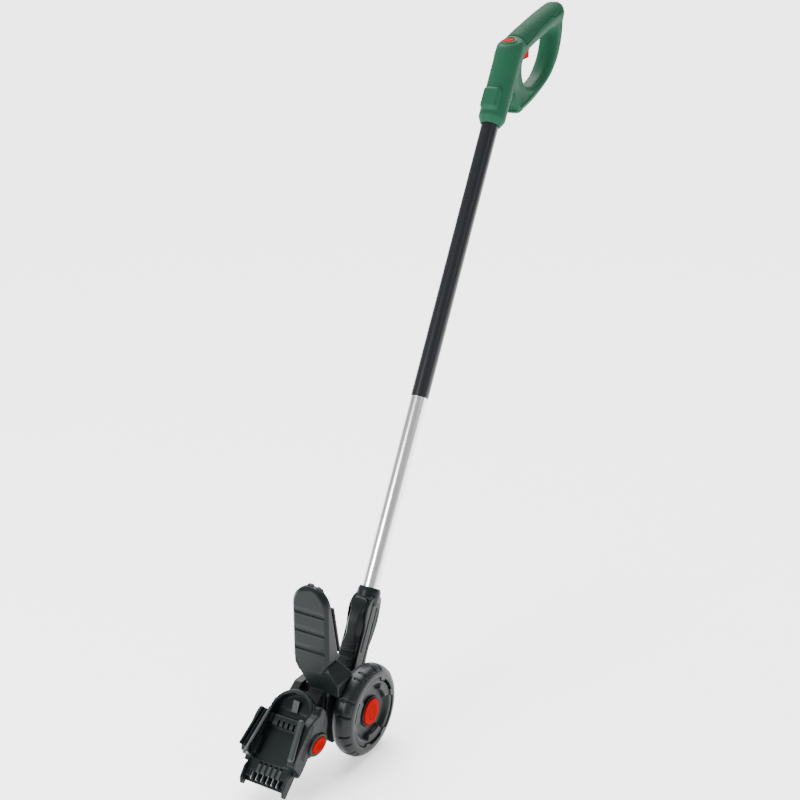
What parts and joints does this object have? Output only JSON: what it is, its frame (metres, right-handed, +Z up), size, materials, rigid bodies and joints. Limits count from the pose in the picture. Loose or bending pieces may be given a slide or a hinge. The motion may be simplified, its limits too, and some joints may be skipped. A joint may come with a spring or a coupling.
{
  "type": "lawn edger",
  "caption": "Telescopic wheeled pole for a cordless lawn edger: D-shaped switch handle, battery plate, guide wheel and a tilting tray that takes the cutting tool.",
  "frame": {"origin": "middle of the handle's grip bar, on the part's centre plane", "axes": "+Z up with the wheel standing on level ground, -Y forward towards the tool tray, +X towards the side the wheel is on"},
  "size_m": [0.1035, 0.8068, 0.9628],
  "materials": {
    "green_plastic": "fine moulded grain",
    "soft_grip": "soft dotted",
    "red_plastic": "satin",
    "black_plastic": "fine moulded grain",
    "dark_plastic": "matte",
    "tube_dark": "satin powder coat",
    "tube_bright": "satin anodised",
    "steel": "plain",
    "bright_contact": "bright plated",
    "tyre_rubber": "matte"
  },
  "bodies": {
    "handle": {"handle_shell_right": "green_plastic", "handle_shell_left": "green_plastic", "grip_pad": "soft_grip", "trigger_pin": "steel", "trigger_spring": "steel", "lock_off_spring": "steel", "switch_block": "dark_plastic", "upper_tube": "tube_dark", "handle_screw_1": "steel", "handle_screw_2": "steel", "handle_screw_3": "steel", "handle_screw_4": "steel", "handle_screw_5": "steel"},
    "trigger": {"trigger": "red_plastic"},
    "lock_off_button": {"lock_off_button": "red_plastic"},
    "lower_pole": {"lower_tube": "tube_bright", "lock_spindle": "dark_plastic", "lock_wedge": "dark_plastic", "joint_housing_right": "black_plastic", "joint_housing_left": "black_plastic", "housing_screw_1": "steel", "housing_screw_2": "steel", "tilt_pin": "steel", "release_lever_pin": "steel", "release_lever_spring": "steel"},
    "release_lever": {"release_lever": "black_plastic"},
    "head": {"battery_plate": "black_plastic", "battery_rail_left": "dark_plastic", "battery_rail_right": "dark_plastic", "battery_terminal_block": "dark_plastic", "head_bracket": "black_plastic", "wheel_axle": "steel", "axle_clip": "steel", "axle_washer": "steel"},
    "wheel": {"tyre": "tyre_rubber", "wheel_rim": "black_plastic", "hub_cap": "red_plastic"},
    "tray": {"tray_body": "black_plastic", "tray_rail_left": "black_plastic", "tray_rail_right": "black_plastic", "tray_comb": "black_plastic", "tray_catch": "black_plastic", "tray_pivot_shaft": "steel", "side_button_spring": "steel", "contact_blade_1": "bright_contact", "contact_blade_2": "bright_contact", "contact_blade_3": "bright_contact", "contact_blade_4": "bright_contact", "contact_blade_5": "bright_contact", "contact_blade_6": "bright_contact"},
    "side_button": {"side_button": "red_plastic"}
  },
  "joints": [
    {"name": "telescope_slide", "type": "slide", "parent": "handle", "child": "lower_pole", "axis": [0, 0.4848, 0.8746], "range_m": [0, 0.26]},
    {"name": "trigger_pull", "type": "hinge", "parent": "handle", "child": "trigger", "pos_m": [0, -0.05069, -0.02563], "axis": [1, 0, 0], "range_deg": [0, 10], "stiffness_Nm_per_rad": 0.35, "springref_deg": -17.19, "deforming": ["trigger_spring"]},
    {"name": "lock_off_press", "type": "slide", "parent": "handle", "child": "lock_off_button", "axis": [0, 0.2588, -0.9659], "range_m": [0, 0.003], "stiffness_N_per_m": 900, "springref_m": -0.003, "deforming": ["lock_off_spring"]},
    {"name": "release_lever_squeeze", "type": "hinge", "parent": "lower_pole", "child": "release_lever", "pos_m": [0, -0.49751, -0.75209], "axis": [1, 0, 0], "range_deg": [0, 2.5], "stiffness_Nm_per_rad": 6, "springref_deg": -1.72, "deforming": ["release_lever_spring"]},
    {"name": "head_tilt", "type": "hinge", "parent": "lower_pole", "child": "head", "pos_m": [0, -0.52876, -0.84682], "axis": [1, 0, 0], "range_deg": [-15, 22]},
    {"name": "wheel_spin", "type": "hinge", "parent": "head", "child": "wheel", "pos_m": [0.045, -0.55785, -0.8651], "axis": [1, 0, 0], "continuous": true},
    {"name": "tray_tilt", "type": "hinge", "parent": "head", "child": "tray", "pos_m": [0, -0.66385, -0.8621], "axis": [1, 0, 0], "range_deg": [0, 16]},
    {"name": "side_button_press", "type": "slide", "parent": "tray", "child": "side_button", "axis": [-1, 0, 0], "range_m": [0, 0.0035], "stiffness_N_per_m": 900, "springref_m": -0.003, "deforming": ["side_button_spring"]}
  ]
}
